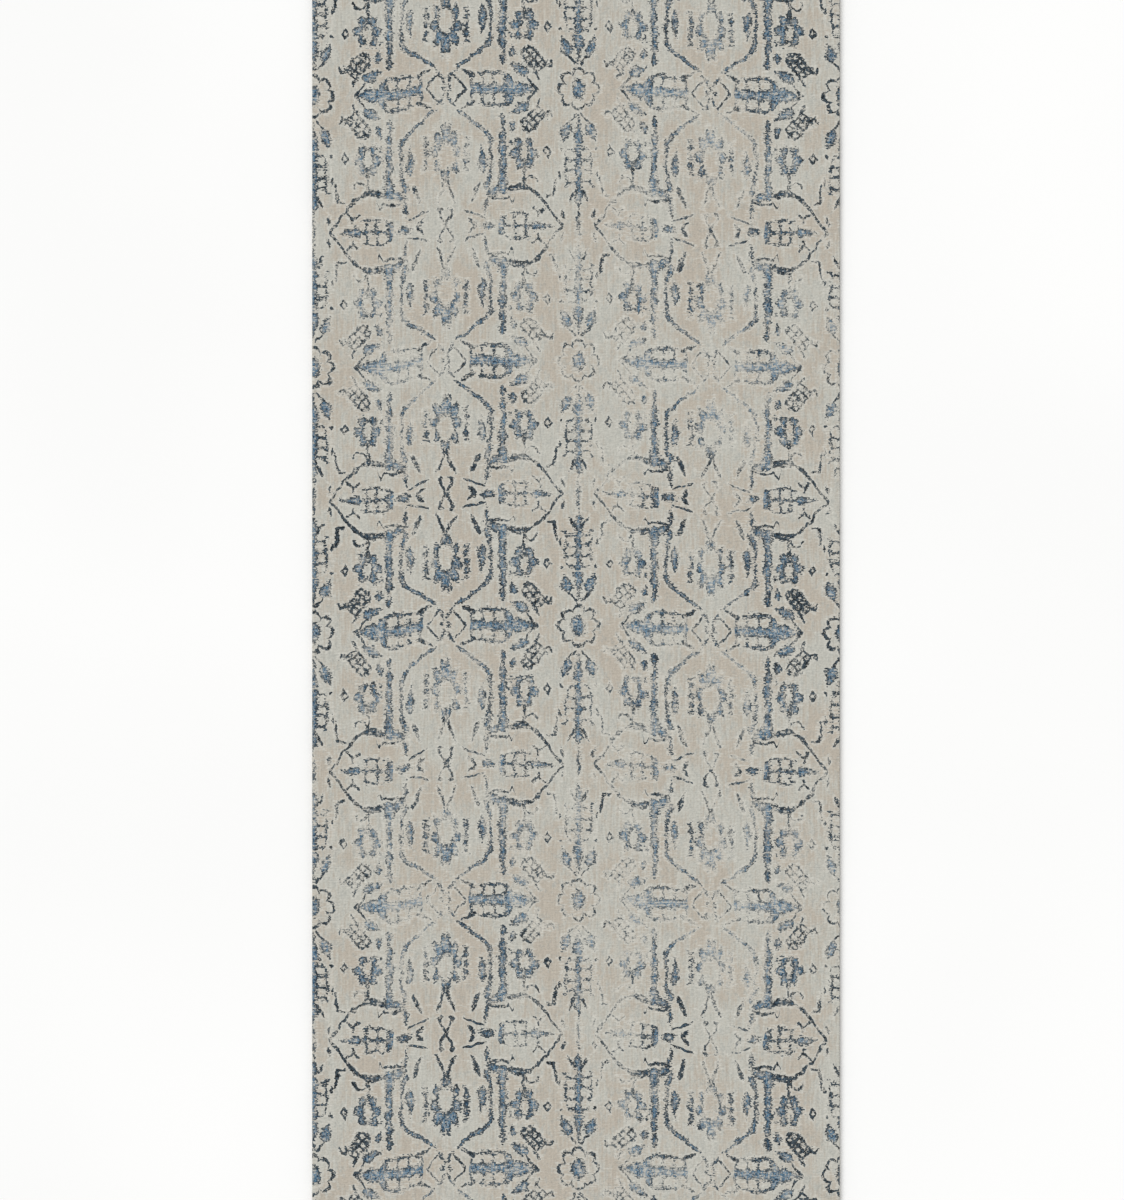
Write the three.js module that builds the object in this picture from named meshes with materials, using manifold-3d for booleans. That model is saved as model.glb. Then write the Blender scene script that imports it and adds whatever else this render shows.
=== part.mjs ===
// Runner rug: a low cut pile on a woven foundation, with overcast long sides and bound ends.
// Millimetres. +Z is up, +Y runs along the rug, and the origin is the middle of the underside.

import * as THREE from 'three';
import { mergeVertices } from 'three/addons/utils/BufferGeometryUtils.js';
import Module from 'manifold-3d';

// ---- overall size ----
const RUG_WIDTH = 790;
const RUG_LENGTH = 2440;

// ---- layers, from the floor up ----
const BACKING_THICKNESS = 1.4;
const LATEX_THICKNESS = 0.6;
const WEAVE_THICKNESS = 1.6;
const PILE_HEIGHT = 4.5;
const PILE_EDGE_ROUND = 1.6;
const PILE_SETBACK = 0.5;
const GLUE_LINE = 0.3;

// ---- long sides: a core cord and the yarn that is wrapped over it ----
const SERGING_THICKNESS = 1.2;
const SERGING_REACH = 9;
const CORD_END_INSET = 1;

// ---- ends: a folded tape with one row of lockstitch ----
const TAPE_THICKNESS = 1.2;
const TAPE_REACH = 14;
const SEAM_FROM_TAPE_EDGE = 4;
const THREAD_DIAMETER = 0.6;

// ---- blank care label on the underside ----
const LABEL_WIDTH = 50;
const LABEL_LENGTH = 35;
const LABEL_THICKNESS = 0.5;
const LABEL_CORNER = 3;
const LABEL_FROM_SIDE = 60;
const LABEL_FROM_END = 70;

// ---- what pieces keep between them where they touch ----
const CLEARANCE = 0.3;

// ---- steps on round outlines ----
const ARC_STEPS = 12;
const THREAD_SIDES = 8;

// ---- heights worked out from the layers ----
const latexBottom = BACKING_THICKNESS + GLUE_LINE;
const weaveBottom = latexBottom + LATEX_THICKNESS + GLUE_LINE;
const weaveTop = weaveBottom + WEAVE_THICKNESS;
const pileBottom = weaveTop + GLUE_LINE;
const pileTop = pileBottom + PILE_HEIGHT;

// ---- the slot that serging and tape leave round the foundation's edge ----
const slotBottom = BACKING_THICKNESS;
const slotTop = pileBottom;
const slotRadius = (slotTop - slotBottom) / 2;
const slotMiddle = (slotTop + slotBottom) / 2;

// ---- plan sizes worked out from the edges ----
const sideX = RUG_WIDTH / 2;
const endY = RUG_LENGTH / 2;
const sergingRadius = slotRadius + SERGING_THICKNESS;
const sergingRadiusBelow = slotRadius + BACKING_THICKNESS;
const cordRadius = slotRadius - CLEARANCE;
const cordX = sideX - sergingRadius;
const sergingInnerX = sideX - SERGING_REACH;
const foundationX = cordX - cordRadius - CLEARANCE;
const foundationY = endY - TAPE_THICKNESS - CLEARANCE;
const fieldX = sergingInnerX - CLEARANCE;
const fieldY = endY - TAPE_REACH - CLEARANCE;

const wasm = await Module();
wasm.setup();

const rug = new THREE.Group();

function addPiece(name, geometry, colour, roughness) {
  const material = new THREE.MeshStandardMaterial({ color: colour, roughness, metalness: 0 });
  const mesh = new THREE.Mesh(geometry, material);
  mesh.name = name;
  rug.add(mesh);
  return mesh;
}

function extrude(outline, depth) {
  return new THREE.ExtrudeGeometry(outline, { depth, bevelEnabled: false, curveSegments: ARC_STEPS });
}

// An outline drawn as (x, z), carried along the rug's length and centred on it.
function alongLength(outline, length) {
  const turn = new THREE.Matrix4().makeBasis(
    new THREE.Vector3(1, 0, 0),
    new THREE.Vector3(0, 0, 1),
    new THREE.Vector3(0, -1, 0),
  );
  return extrude(outline, length).applyMatrix4(turn).translate(0, length / 2, 0);
}

// An outline drawn as (y, z), carried across the rug's width and centred on it.
function acrossWidth(outline, width) {
  const turn = new THREE.Matrix4().makeBasis(
    new THREE.Vector3(0, 1, 0),
    new THREE.Vector3(0, 0, 1),
    new THREE.Vector3(1, 0, 0),
  );
  return extrude(outline, width).applyMatrix4(turn).translate(-width / 2, 0, 0);
}

function slab(halfX, halfY, bottom, thickness) {
  const geometry = new THREE.BoxGeometry(2 * halfX, 2 * halfY, thickness);
  return geometry.translate(0, 0, bottom + thickness / 2);
}

function roundedRectangle(width, length, corner) {
  const x = width / 2 - corner;
  const y = length / 2 - corner;
  const outline = new THREE.Shape();
  outline.absarc(x, y, corner, 0, Math.PI / 2);
  outline.absarc(-x, y, corner, Math.PI / 2, Math.PI);
  outline.absarc(-x, -y, corner, Math.PI, 1.5 * Math.PI);
  outline.absarc(x, -y, corner, 1.5 * Math.PI, 2 * Math.PI);
  return outline;
}

function toManifold(geometry) {
  geometry.deleteAttribute('normal');
  geometry.deleteAttribute('uv');
  const merged = mergeVertices(geometry);
  const vertProperties = new Float32Array(merged.attributes.position.array);
  const triVerts = new Uint32Array(merged.index.array);
  return new wasm.Manifold(new wasm.Mesh({ numProp: 3, vertProperties, triVerts }));
}

function cut(geometry, tool) {
  const result = toManifold(geometry).subtract(toManifold(tool)).getMesh();
  const shape = new THREE.BufferGeometry();
  shape.setAttribute('position', new THREE.BufferAttribute(new Float32Array(result.vertProperties), 3));
  shape.setIndex(new THREE.BufferAttribute(new Uint32Array(result.triVerts), 1));
  shape.computeVertexNormals();
  return shape;
}

// ---- pile: thinner where it lies over the serging, and rounded along both sides ----
function pileOutline() {
  const outerX = sideX - PILE_SETBACK;
  const overSerging = slotTop + SERGING_THICKNESS + CLEARANCE;
  const r = PILE_EDGE_ROUND;
  const outline = new THREE.Shape();
  outline.moveTo(-fieldX, pileBottom);
  outline.lineTo(fieldX, pileBottom);
  outline.lineTo(fieldX, overSerging);
  outline.lineTo(outerX, overSerging);
  outline.absarc(outerX - r, pileTop - r, r, 0, Math.PI / 2);
  outline.absarc(-outerX + r, pileTop - r, r, Math.PI / 2, Math.PI);
  outline.lineTo(-outerX, overSerging);
  outline.lineTo(-fieldX, overSerging);
  return outline;
}

// ---- serging: a sleeve of wrapped yarn, open towards the middle and flush below with the backing ----
function sergingOutline() {
  const down = -Math.PI / 2;
  const up = Math.PI / 2;
  const outline = new THREE.Shape();
  outline.moveTo(sergingInnerX, 0);
  outline.absellipse(cordX, slotMiddle, sergingRadius, sergingRadiusBelow, down, 0);
  outline.absarc(cordX, slotMiddle, sergingRadius, 0, up);
  outline.lineTo(sergingInnerX, slotTop + SERGING_THICKNESS);
  outline.lineTo(sergingInnerX, slotTop);
  outline.absarc(cordX, slotMiddle, slotRadius, up, down, true);
  outline.lineTo(sergingInnerX, slotBottom);
  return outline;
}

// ---- end tape: folded round the foundation's end, with a sunk seam line on each leg ----
function tapeOutline() {
  const innerY = endY - TAPE_REACH;
  const top = slotTop + TAPE_THICKNESS;
  const bottom = 0;
  const seamY = innerY + SEAM_FROM_TAPE_EDGE;
  const seamHalf = THREAD_DIAMETER / 2 + CLEARANCE;
  const seamDepth = THREAD_DIAMETER + CLEARANCE;
  const outline = new THREE.Shape();
  outline.moveTo(innerY, bottom);
  outline.lineTo(seamY - seamHalf, bottom);
  outline.lineTo(seamY - seamHalf, bottom + seamDepth);
  outline.lineTo(seamY + seamHalf, bottom + seamDepth);
  outline.lineTo(seamY + seamHalf, bottom);
  outline.lineTo(endY, bottom);
  outline.lineTo(endY, top);
  outline.lineTo(seamY + seamHalf, top);
  outline.lineTo(seamY + seamHalf, top - seamDepth);
  outline.lineTo(seamY - seamHalf, top - seamDepth);
  outline.lineTo(seamY - seamHalf, top);
  outline.lineTo(innerY, top);
  outline.lineTo(innerY, slotTop);
  outline.lineTo(endY - TAPE_THICKNESS, slotTop);
  outline.lineTo(endY - TAPE_THICKNESS, slotBottom);
  outline.lineTo(innerY, slotBottom);
  return outline;
}

function threadOutline(height) {
  const seamY = endY - TAPE_REACH + SEAM_FROM_TAPE_EDGE;
  const outline = new THREE.Shape();
  for (let side = 0; side < THREAD_SIDES; side += 1) {
    const angle = ((side + 0.5) / THREAD_SIDES) * 2 * Math.PI;
    const y = seamY + (THREAD_DIAMETER / 2) * Math.cos(angle);
    const z = height + (THREAD_DIAMETER / 2) * Math.sin(angle);
    if (side === 0) {
      outline.moveTo(y, z);
    } else {
      outline.lineTo(y, z);
    }
  }
  return outline;
}

// ---- the layers ----
const labelX = sideX - LABEL_FROM_SIDE - LABEL_WIDTH / 2;
const labelY = -(endY - LABEL_FROM_END - LABEL_LENGTH / 2);
const labelBottom = CLEARANCE;
const pocketDepth = labelBottom + LABEL_THICKNESS + CLEARANCE;
const label = extrude(roundedRectangle(LABEL_WIDTH, LABEL_LENGTH, LABEL_CORNER), LABEL_THICKNESS);
const pocketOutline = roundedRectangle(
  LABEL_WIDTH + 2 * CLEARANCE,
  LABEL_LENGTH + 2 * CLEARANCE,
  LABEL_CORNER + CLEARANCE,
);
const pocket = extrude(pocketOutline, 2 * pocketDepth).translate(labelX, labelY, -pocketDepth);
const backing = slab(fieldX, fieldY, 0, BACKING_THICKNESS);

addPiece('backing_cloth', cut(backing, pocket), 0xb3a488, 0.95);
addPiece('care_label', label.translate(labelX, labelY, labelBottom), 0xe6e3da, 0.6);
addPiece('latex_coat', slab(foundationX, foundationY, latexBottom, LATEX_THICKNESS), 0xcfc8b6, 0.7);
addPiece('ground_weave', slab(foundationX, foundationY, weaveBottom, WEAVE_THICKNESS), 0xb9b2a0, 0.95);
addPiece('pile', alongLength(pileOutline(), 2 * fieldY), 0xabaaa2, 1);

// ---- long sides: the right one as drawn, the left one turned half way round ----
for (const [side, turn] of [['right', 0], ['left', Math.PI]]) {
  const cord = new THREE.Shape().absarc(cordX, slotMiddle, cordRadius, 0, 2 * Math.PI);
  const cordLength = RUG_LENGTH - 2 * CORD_END_INSET;
  addPiece(`${side}_edge_cord`, alongLength(cord, cordLength), 0xa89f8c, 0.9).rotation.z = turn;
  addPiece(`${side}_serging`, alongLength(sergingOutline(), RUG_LENGTH), 0xb4ae9d, 0.9).rotation.z = turn;
}

// ---- ends: the head as drawn, the foot turned half way round ----
const threadHeights = {
  needle_thread: slotTop + TAPE_THICKNESS - THREAD_DIAMETER / 2,
  bobbin_thread: THREAD_DIAMETER / 2,
};
for (const [end, turn] of [['head', 0], ['foot', Math.PI]]) {
  addPiece(`${end}_binding`, acrossWidth(tapeOutline(), 2 * fieldX), 0xada794, 0.9).rotation.z = turn;
  for (const [thread, height] of Object.entries(threadHeights)) {
    const geometry = acrossWidth(threadOutline(height), 2 * fieldX);
    addPiece(`${end}_${thread}`, geometry, 0xbdb7a6, 0.7).rotation.z = turn;
  }
}

export default rug;
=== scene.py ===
"""Looks of the runner rug: pile with its worn design, weave, coat, backing, edges, threads and label."""

from math import atan2, cos, hypot, pi, radians, sin, sqrt

import bmesh
import bpy
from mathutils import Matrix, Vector, noise


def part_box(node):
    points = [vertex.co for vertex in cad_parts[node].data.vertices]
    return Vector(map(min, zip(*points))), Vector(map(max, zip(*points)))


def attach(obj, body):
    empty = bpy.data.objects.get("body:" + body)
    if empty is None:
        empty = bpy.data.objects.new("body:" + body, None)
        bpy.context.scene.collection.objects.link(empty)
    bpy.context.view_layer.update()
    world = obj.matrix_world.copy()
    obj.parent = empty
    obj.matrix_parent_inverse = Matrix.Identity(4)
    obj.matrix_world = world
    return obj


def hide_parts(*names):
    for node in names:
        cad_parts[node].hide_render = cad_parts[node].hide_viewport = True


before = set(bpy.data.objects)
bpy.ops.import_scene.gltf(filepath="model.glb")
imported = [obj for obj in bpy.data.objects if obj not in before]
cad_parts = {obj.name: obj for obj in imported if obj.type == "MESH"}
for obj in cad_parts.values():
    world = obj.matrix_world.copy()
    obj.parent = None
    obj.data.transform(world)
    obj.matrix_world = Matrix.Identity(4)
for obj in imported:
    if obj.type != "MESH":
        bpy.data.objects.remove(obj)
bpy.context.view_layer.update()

MM = 0.001


# ---------------------------------------------------------------- sizes, in millimetres


def box(node):
    low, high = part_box(node)
    return [c / MM for c in low], [c / MM for c in high]


PILE_LOW, PILE_HIGH = box("pile")
BACKING_LOW, BACKING_HIGH = box("backing_cloth")
LATEX_LOW, LATEX_HIGH = box("latex_coat")
WEAVE_LOW, WEAVE_HIGH = box("ground_weave")
LABEL_LOW, LABEL_HIGH = box("care_label")
SERGING_LOW, SERGING_HIGH = box("right_serging")
CORD_LOW, CORD_HIGH = box("right_edge_cord")
TAPE_LOW, TAPE_HIGH = box("head_binding")
NEEDLE_LOW, NEEDLE_HIGH = box("head_needle_thread")
BOBBIN_LOW, BOBBIN_HIGH = box("head_bobbin_thread")

CLEARANCE = 0.3


# ---------------------------------------------------------------- nodes


class Maths:
    """Adds nodes to one material's tree. Inputs are sockets or plain numbers, and lengths are in millimetres.

    Every node is added after the nodes it reads, so that the renderer holds few values at a time.
    """

    def __init__(self, name):
        self.material = bpy.data.materials.new(name)
        self.material.use_nodes = True
        self.tree = self.material.node_tree
        self.shader = self.tree.nodes["Principled BSDF"]

    def node(self, kind, **settings):
        node = self.tree.nodes.new(kind)
        for key, value in settings.items():
            setattr(node, key, value)
        return node

    def feed(self, socket, value):
        if isinstance(value, bpy.types.NodeSocket):
            self.tree.links.new(value, socket)
        else:
            socket.default_value = value

    def math(self, operation, *values, clamp=False):
        node = self.node("ShaderNodeMath", operation=operation, use_clamp=clamp)
        for socket, value in zip(node.inputs, values):
            self.feed(socket, value)
        return node.outputs[0]

    def sub(self, a, b):
        return self.math("SUBTRACT", a, b)

    def add(self, a, b):
        return self.math("ADD", a, b)

    def scaled(self, a, factor, offset=0):
        return self.math("MULTIPLY_ADD", a, factor, offset)

    def maximum(self, a, b):
        return self.math("MAXIMUM", a, b)

    def minimum(self, a, b):
        return self.math("MINIMUM", a, b)

    def absolute(self, a):
        return self.math("ABSOLUTE", a)

    def sine(self, a):
        return self.math("SINE", a)

    def fold(self, x, half_period):
        """Back and forth between 0 and half_period."""
        return self.math("PINGPONG", x, half_period)

    def wrap(self, x, low, high):
        return self.math("WRAP", x, high, low)

    def vector(self, x, y, z=0):
        node = self.node("ShaderNodeCombineXYZ")
        for socket, value in zip(node.inputs, (x, y, z)):
            self.feed(socket, value)
        return node.outputs[0]

    def parts(self, p):
        node = self.node("ShaderNodeSeparateXYZ")
        self.feed(node.inputs[0], p)
        return node.outputs[0], node.outputs[1], node.outputs[2]

    def length(self, p):
        node = self.node("ShaderNodeVectorMath", operation="LENGTH")
        self.feed(node.inputs[0], p)
        return node.outputs["Value"]

    def angle(self, p):
        x, y, _ = self.parts(p)
        return self.math("ARCTAN2", y, x)

    def place(self, p, at, turn, size):
        """p seen from a point, turned and divided by size."""
        node = self.node("ShaderNodeMapping", vector_type="TEXTURE")
        self.feed(node.inputs["Vector"], p)
        node.inputs["Location"].default_value = (at[0], at[1], 0)
        node.inputs["Rotation"].default_value = (0, 0, turn)
        node.inputs["Scale"].default_value = (size[0], size[1], 1)
        return node.outputs[0]

    def frame(self, p, at, turn):
        along, across, _ = self.parts(self.place(p, at, turn, (1, 1)))
        return along, across

    def graph(self, x, points):
        """A smooth graph through (x, y) points, level beyond its ends."""
        low, high = points[0][0], points[-1][0]
        part = self.scaled(x, 1 / (high - low), -low / (high - low))
        node = self.node("ShaderNodeFloatCurve")
        self.feed(node.inputs["Value"], part)
        mapping = node.mapping
        bottom = min(y for _, y in points)
        reach = max(max(y for _, y in points) - bottom, 1e-6)
        shown = [((a - low) / (high - low), (b - bottom) / reach) for a, b in points]
        curve = mapping.curves[0]
        curve.points[0].location, curve.points[1].location = shown[0], shown[-1]
        for point in shown[1:-1]:
            curve.points.new(*point)
        for point in curve.points:
            point.handle_type = "AUTO_CLAMPED"
        mapping.update()
        return self.scaled(node.outputs[0], reach, bottom)

    def traces(self, x, reach, rows):
        """Four smooth graphs of one x: rows are (x, a, b, c, d), with a and c from 0 to reach and b and d widths."""
        part = self.scaled(x, 1 / reach)
        node = self.node("ShaderNodeValToRGB")
        self.feed(node.inputs[0], part)
        ramp = node.color_ramp
        ramp.interpolation = "CARDINAL"
        while len(ramp.elements) < len(rows):
            ramp.elements.new(0.5)
        for element, (at, a, b, c, d) in zip(ramp.elements, rows):
            element.position = at / reach
        for element, (at, a, b, c, d) in zip(ramp.elements, rows):
            element.color = (a / reach, (b + 10) / 20, c / reach, (d + 10) / 20)
        a, b, c = self.colour_parts(node.outputs["Color"])
        return (
            self.scaled(a, reach),
            self.scaled(b, 20, -10),
            self.scaled(c, reach),
            self.scaled(node.outputs["Alpha"], 20, -10),
        )

    def colour_parts(self, colour):
        node = self.node("ShaderNodeSeparateColor")
        self.feed(node.inputs[0], colour)
        return node.outputs[0], node.outputs[1], node.outputs[2]

    def step(self, x, low, high):
        """0 below low, 1 above high, smooth between."""
        node = self.node("ShaderNodeMapRange", interpolation_type="SMOOTHSTEP")
        self.feed(node.inputs["Value"], x)
        node.inputs["From Min"].default_value = low
        node.inputs["From Max"].default_value = high
        return node.outputs[0]

    def noise(self, p, size, seed, detail=2, roughness=0.5):
        """Soft noise from about -1 to 1 in patches of about size (across, along)."""
        place = self.place(p, (seed * 37.1, seed * 71.3), 0, size)
        node = self.node("ShaderNodeTexNoise", noise_dimensions="2D")
        self.feed(node.inputs["Vector"], place)
        node.inputs["Scale"].default_value = 1
        node.inputs["Detail"].default_value = detail
        node.inputs["Roughness"].default_value = roughness
        return self.scaled(node.outputs[0], 4, -2)

    def mix(self, share, a, b):
        node = self.node("ShaderNodeMix", data_type="RGBA", clamp_factor=True)
        self.feed(node.inputs[0], share)
        self.feed(node.inputs[6], a)
        self.feed(node.inputs[7], b)
        return node.outputs[2]

    def lit(self, colour, factor):
        """A colour made lighter or darker by a factor near 1."""
        factors = self.vector(factor, factor, factor)
        node = self.node("ShaderNodeMix", data_type="RGBA", blend_type="MULTIPLY")
        node.inputs[0].default_value = 1
        self.feed(node.inputs[6], colour)
        self.feed(node.inputs[7], factors)
        return node.outputs[2]

    def here(self):
        """Where a point of the piece is, in millimetres: (x, y, z)."""
        node = self.node("ShaderNodeTexCoord")
        spot = self.node("ShaderNodeMapping", vector_type="POINT")
        self.feed(spot.inputs["Vector"], node.outputs["Object"])
        spot.inputs["Scale"].default_value = (1 / MM, 1 / MM, 1 / MM)
        return self.parts(spot.outputs[0])

    def bump(self, height, depth):
        """Relief of depth millimetres for a height from 0 to 1."""
        node = self.node("ShaderNodeBump")
        node.inputs["Strength"].default_value = 1
        node.inputs["Distance"].default_value = depth * MM
        self.feed(node.inputs["Height"], height)
        self.feed(self.shader.inputs["Normal"], node.outputs[0])

    def finish(self, colour, roughness, sheen=0.0, sheen_roughness=0.5, specular=0.3):
        self.feed(self.shader.inputs["Base Color"], colour)
        self.feed(self.shader.inputs["Roughness"], roughness)
        self.shader.inputs["Sheen Weight"].default_value = sheen
        self.shader.inputs["Sheen Roughness"].default_value = sheen_roughness
        self.shader.inputs["Specular IOR Level"].default_value = specular
        return self.material


def srgb(red, green, blue, alpha=1.0):
    """A colour on the 0 to 255 display scale as the shader's linear colour."""

    def linear(c):
        c /= 255
        return c / 12.92 if c <= 0.04045 else ((c + 0.055) / 1.055) ** 2.4

    return (linear(red), linear(green), linear(blue), alpha)


# ---------------------------------------------------------------- the design
#
# One quarter of a repeat, in millimetres. u runs from a crossing column (0) to a flower column (REPEAT_U), and v from
# a flower row (0) to a tip row (REPEAT_V). Every motif gives a distance that is negative inside it.

REPEAT_U = 198.2
REPEAT_V = 201.9


def spindle(m, p, start, end, profile):
    """A shape that is the same on both sides of the line from start to end.

    profile lists (part of the way along, half-width), and a negative half-width is outside.
    """
    dx, dy = end[0] - start[0], end[1] - start[1]
    along, across = m.frame(p, start, atan2(dy, dx))
    long = hypot(dx, dy)
    half = m.graph(along, [(part * long, width) for part, width in profile])
    return m.sub(m.absolute(across), half)


def line(m, p, start, end, first, middle, last):
    return spindle(m, p, start, end, [(-0.15, -3), (0, first), (0.5, middle), (1, last), (1.15, -3)])


def leaf(m, p, base, tip, half_width):
    """A pointed leaf, widest a third of the way from its base."""
    shares = [(0, 0.1), (0.1, 0.62), (0.32, 1), (0.6, 0.78), (0.85, 0.3), (1, 0)]
    profile = [(-0.12, -4)] + [(part, share * half_width) for part, share in shares] + [(1.12, -4)]
    return spindle(m, p, base, tip, profile)


def oval(m, p, centre, half_x, half_y, turn=0.0):
    q = m.place(p, centre, turn, (half_x, half_y))
    size = min(half_x, half_y)
    return m.scaled(m.length(q), size, -size)


def window(m, x, y, half_x, half_y, corner):
    """A box with round corners, from distances to its middle lines."""
    qx = m.maximum(m.sub(x, half_x - corner), 0)
    qy = m.maximum(m.sub(y, half_y - corner), 0)
    return m.sub(m.length(m.vector(qx, qy)), corner)


def cut(m, shape, hole):
    return m.maximum(shape, m.scaled(hole, -1))


def lantern(m, p, u, v, start, end, half_height, panes):
    """A barrel with rows of panes on either side of a band, lying along u with its middle at v = 0.

    panes is (middle of the row, pitch, half-width, half-height, height of their middle).
    """
    shares = [(0, 0.74), (0.12, 0.8), (0.35, 0.94), (0.65, 1), (0.85, 0.88), (0.95, 0.66), (1, 0.4)]
    profile = [(-0.02, -4)] + [(part, share * half_height) for part, share in shares] + [(1.03, -4)]
    body = spindle(m, p, (start, 0), (end, 0), profile)
    middle, pitch, half_width, half_pane, height = panes
    x = m.fold(m.sub(u, middle), pitch / 2)
    y = m.absolute(m.sub(m.absolute(v), height))
    row = m.sub(m.absolute(m.sub(u, middle)), pitch + half_width + 1)
    return cut(m, body, m.maximum(window(m, x, y, half_width, half_pane, 0.6 * half_width), row))


def petals(m, p, centre, radius_u, radius_v, count, depth, turn):
    """Chunky petals round a middle."""
    q = m.place(p, centre, 0, (radius_u, radius_v))
    swing = m.absolute(m.sine(m.scaled(m.angle(q), count / 2, turn)))
    size = min(radius_u, radius_v)
    return m.scaled(m.sub(m.length(q), m.scaled(swing, depth, 1 - depth)), size)


def design(m, u, v):
    """The distance to the nearest motif, and the same for the thin drawn lines."""
    p = m.vector(u, v)
    w = m.scaled(u, -1, REPEAT_U)
    t = m.scaled(v, -1, REPEAT_V)
    pw = m.vector(w, v)
    pt = m.vector(u, t)

    # Crossing and ogee frame, with the cloud band that carries on from its top.
    frame_u, frame_half, band_u, band_half = m.traces(v, 210, [
        (0, 0, -3, 49, -4),
        (6, 2, 0.2, 49, -4),
        (14, 5, 2.2, 49, -4),
        (22, 9, 3, 49, -4),
        (28, 14, -1, 49, -4),
        (32, 18, 3, 49, -4),
        (40, 28, 5.4, 49, -4),
        (46, 36, 3.4, 49, -4),
        (52, 44, 6, 49, -4),
        (60, 55, 4.6, 49, -4),
        (70, 64, 4.6, 49, -4),
        (82, 66.5, 3, 49, -4),
        (104, 67, 2.4, 49, -4),
        (122, 66, 2.8, 49, -4),
        (134, 64, 4.6, 50, -4),
        (140, 61, 5, 49, 1.4),
        (147, 60, 4, 46.5, 3.4),
        (152, 60, -3, 44.5, 3.2),
        (162, 60, -4, 41, 2.4),
        (169, 60, -4, 38, 0.6),
        (172, 60, -4, 34, -3),
        (176, 60, -4, 26, -3),
        (180, 60, -4, 30, 3),
        (185, 60, -4, 43, 5.5),
        (190, 60, -4, 56, 2),
        (192, 60, -4, 60, -3),
        (203, 60, -4, 60, -3),
    ])
    shape = m.sub(m.absolute(m.sub(u, frame_u)), frame_half)
    thin = m.sub(m.absolute(m.sub(u, band_u)), band_half)

    # Centre lines and knot, then leaf stems and barbs by the flower column.
    knot_u, knot_half, stem_w, stem_half = m.traces(v, 210, [
        (0, 2, -4, 3, -4),
        (33, 2, -4, 3, -4),
        (37, 2, -4, 4, 1.4),
        (43, 2, -4, 8, 1.6),
        (50, 2, -4, 15.5, 1.4),
        (54, 2, -4, 17, -4),
        (84, 2, -4, 26, -4),
        (88, 2, -4, 26, 2.2),
        (94, 2, -4, 26, -2),
        (118, 2, -4, 28, -2),
        (126, 2, -4, 28, 1.6),
        (134, 2, 0.6, 27, -1),
        (138, 2.2, 2, 14, -4),
        (145, 4, 2, 4, -2),
        (149, 5.5, 2, 5, 2.2),
        (157, 8.5, 2, 9.5, 2.2),
        (166, 12, 1.6, 14, 0.4),
        (170, 14, 0.4, 17, -3),
        (174, 8, -2, 22, -3),
        (177, 7.5, 3.6, 25, -1),
        (183, 9.5, 1.7, 24, 2),
        (191, 6.5, 1.6, 22, 1),
        (198, 1.5, 1.8, 22, -4),
        (204, 1, 2.4, 22, -4),
    ])
    thin = m.minimum(thin, m.sub(m.absolute(m.sub(u, knot_u)), knot_half))
    thin = m.minimum(thin, m.sub(m.absolute(m.sub(w, stem_w)), stem_half))

    # Lantern lip and medallion, then inner arc and arrow head.
    arch_v, arch_half, arrow_v, arrow_half = m.traces(u, 210, [
        (0, 20, -4, 160, -4),
        (10, 20, -2, 160, -4),
        (13, 18, 1.4, 160, -4),
        (21, 10, 2, 160, -4),
        (29, 1, 1.6, 160, -4),
        (33, 0, -4, 160, -4),
        (58, 0, -4, 158, -2),
        (62, 0, -4, 158.5, 1.4),
        (76, 0, -4, 161.5, 1.8),
        (90, 148, -4, 160.5, 1.4),
        (93, 148, 3, 159, 1.4),
        (103, 145, 5, 154, 1),
        (106, 144.5, 5, 40, -4),
        (111, 144, 4.8, 35, 1.4),
        (120, 145, 4.4, 20, 2.2),
        (128, 149, 2, 8, 2.6),
        (136, 155, 4, 0, 3),
        (141, 160, 3.6, 0, -4),
        (157, 180.5, 2.8, 0, -4),
        (175, 201.5, 2.4, 0, -4),
        (179, 204, -3, 0, -4),
    ])
    thin = m.minimum(thin, m.sub(m.absolute(m.sub(v, arch_v)), arch_half))
    thin = m.minimum(thin, m.sub(m.absolute(m.sub(v, arrow_v)), arrow_half))

    def solid(distance):
        nonlocal shape
        shape = m.minimum(shape, distance)

    def drawn(distance):
        nonlocal thin
        thin = m.minimum(thin, distance)

    # Lantern on the flower row, with its flared lip, its cone and a leaf over it.
    solid(lantern(m, p, u, v, 36, 101, 27, (63, 17, 7, 6.6, 14.5)))
    drawn(line(m, p, (23, 29), (42, 19.5), 0.8, 2.4, 3))
    solid(spindle(m, p, (101, 0), (134, 0), [
        (-0.06, -4), (0, 9), (0.2, 12), (0.45, 9.5), (0.7, 5.5), (0.95, 1.2), (1.1, -4)]))
    solid(oval(m, p, (5, 0), 2.4, 4))
    solid(leaf(m, p, (124, 22), (95, 37), 8))

    # Lattice bud, set at a slant, with a pointed lip and two spikes.
    along, across = m.frame(p, (116, 62), -0.85)
    cup = m.sub(m.absolute(across), m.graph(along, [
        (-2, -5), (0, 3), (3.5, 8.5), (12, 12), (27, 11.5), (34, 11), (38, 14.5), (41, 12), (44, -3), (48, -5)]))
    drawn(cut(m, cup, window(m, m.fold(m.sub(along, 9), 4.6), m.fold(m.sub(across, 4.6), 4.6), 3.1, 3.1, 1.2)))
    drawn(line(m, p, (143, 38), (157, 34), 1, 1.8, 1.6))
    drawn(line(m, p, (156, 33), (160, 42), 1.8, 1.6, 0.6))
    drawn(line(m, p, (134, 26), (140, 14), 2, 1.6, 0.6))

    # Star leaf between bud and bar.
    solid(leaf(m, p, (101, 47), (99, 66), 5.5))

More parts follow.
